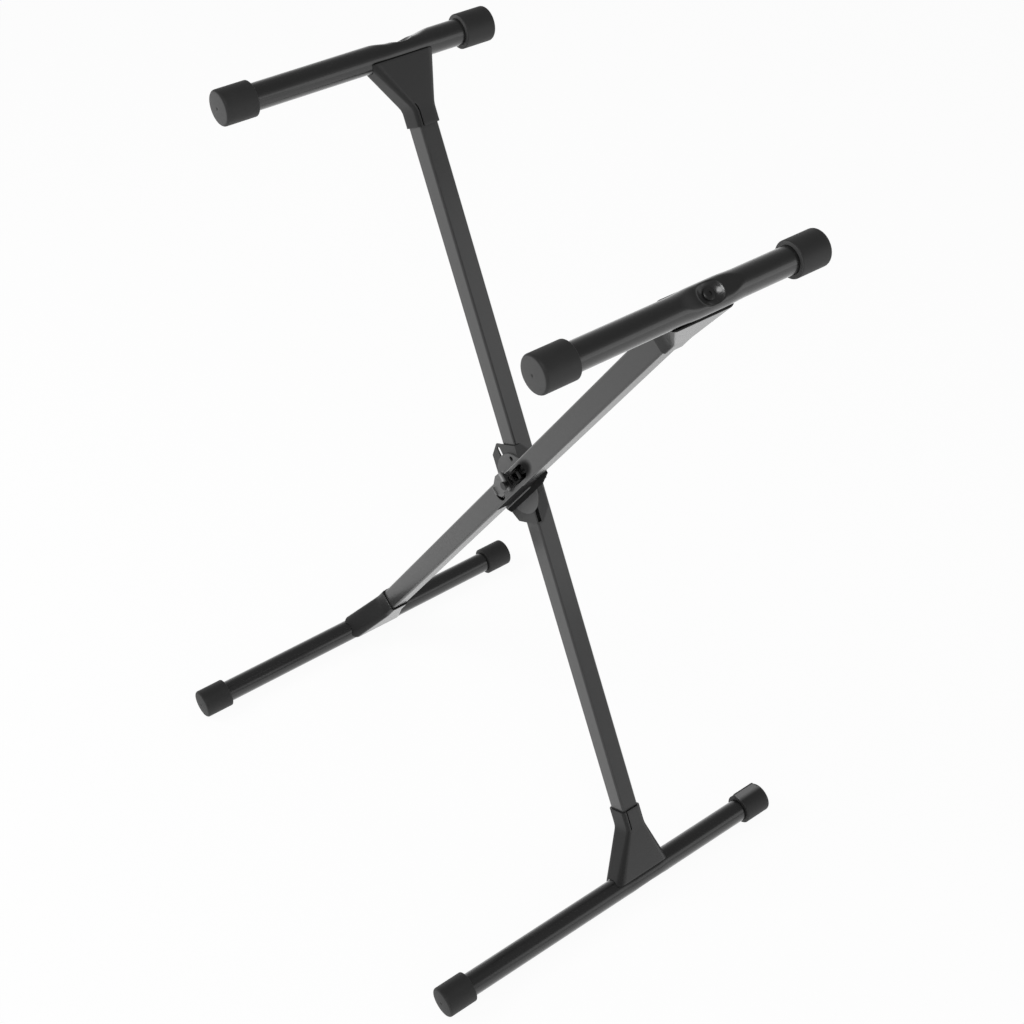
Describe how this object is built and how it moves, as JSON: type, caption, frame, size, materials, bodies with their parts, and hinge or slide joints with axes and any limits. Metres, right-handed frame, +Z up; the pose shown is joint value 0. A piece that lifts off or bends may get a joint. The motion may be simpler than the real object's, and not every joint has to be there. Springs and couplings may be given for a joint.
{
  "type": "folding keyboard stand",
  "caption": "Black X-shaped folding keyboard stand with a central locking hub, round arm bars and foot bars with rubber caps.",
  "frame": {"origin": "on the floor under the middle of the stand, at its drawn height", "axes": "+Z up; +X across the open X, towards the foot bar of the rear leg and the arm bar of the front leg; +Y along the four bars, towards the rear leg"},
  "size_m": [0.56, 0.488, 0.8755],
  "materials": {
    "powder_coat": "satin",
    "gusset_coat": "satin",
    "hub_coat": "satin",
    "cap_rubber": "matte",
    "black_steel": "satin",
    "plated_steel": "satin",
    "black_plastic": "matte"
  },
  "bodies": {
    "root": {"rear_leg_tube": "powder_coat", "rear_arm_bar": "powder_coat", "rear_foot_bar": "powder_coat", "rear_arm_gusset": "gusset_coat", "rear_foot_gusset": "gusset_coat", "rear_arm_bolt": "black_steel", "rear_foot_bolt": "black_steel", "rear_arm_plug": "black_plastic", "rear_foot_plug": "black_plastic", "rear_arm_cap_near": "cap_rubber", "rear_arm_cap_far": "cap_rubber", "rear_foot_cap_near": "cap_rubber", "saddle_plate": "hub_coat", "locking_disc": "hub_coat", "saddle_rivet_1": "black_steel", "saddle_rivet_2": "black_steel", "rear_pivot_sleeve": "plated_steel", "nut_washer": "black_steel", "pivot_nut": "black_steel", "pivot_bolt": "black_steel"},
    "front_frame": {"front_leg_tube": "powder_coat", "front_arm_bar": "powder_coat", "front_foot_bar": "powder_coat", "front_arm_gusset": "gusset_coat", "front_foot_gusset": "gusset_coat", "front_arm_bolt": "black_steel", "front_foot_bolt": "black_steel", "front_arm_plug": "black_plastic", "front_foot_plug": "black_plastic", "front_arm_cap_near": "cap_rubber", "front_arm_cap_far": "cap_rubber", "front_foot_cap_near": "cap_rubber", "front_foot_cap_far": "cap_rubber", "guide_plate": "black_plastic", "guide_rivet_1": "black_steel", "guide_rivet_2": "black_steel", "head_washer": "black_steel", "front_pivot_sleeve": "plated_steel", "lever_hinge_pin": "black_steel", "lock_spring": "plated_steel"},
    "lever": {"release_lever": "hub_coat"},
    "pin": {"lock_pin": "black_steel"},
    "leveller": {"levelling_cap": "cap_rubber"}
  },
  "joints": [
    {"name": "fold", "type": "hinge", "parent": "root", "child": "front_frame", "pos_m": [0, 0.0249, 0.45311], "axis": [0, 1, 0], "range_deg": [-57.01, 30]},
    {"name": "release", "type": "hinge", "parent": "front_frame", "child": "lever", "pos_m": [0.02579, 0.018, 0.49595], "axis": [-0.8567, 0, 0.5158], "range_deg": [-8.63, 2.5]},
    {"name": "lock", "type": "slide", "parent": "front_frame", "child": "pin", "axis": [0, -1, 0], "range_m": [-0.00301, 0.00087]},
    {"name": "level", "type": "hinge", "parent": "root", "child": "leveller", "pos_m": [0.262, 0.2255, 0.018], "axis": [0, 1, 0], "continuous": true}
  ],
  "couplings": [
    {"joint": "lock", "follows": "release", "m_per_rad": 0.02}
  ]
}
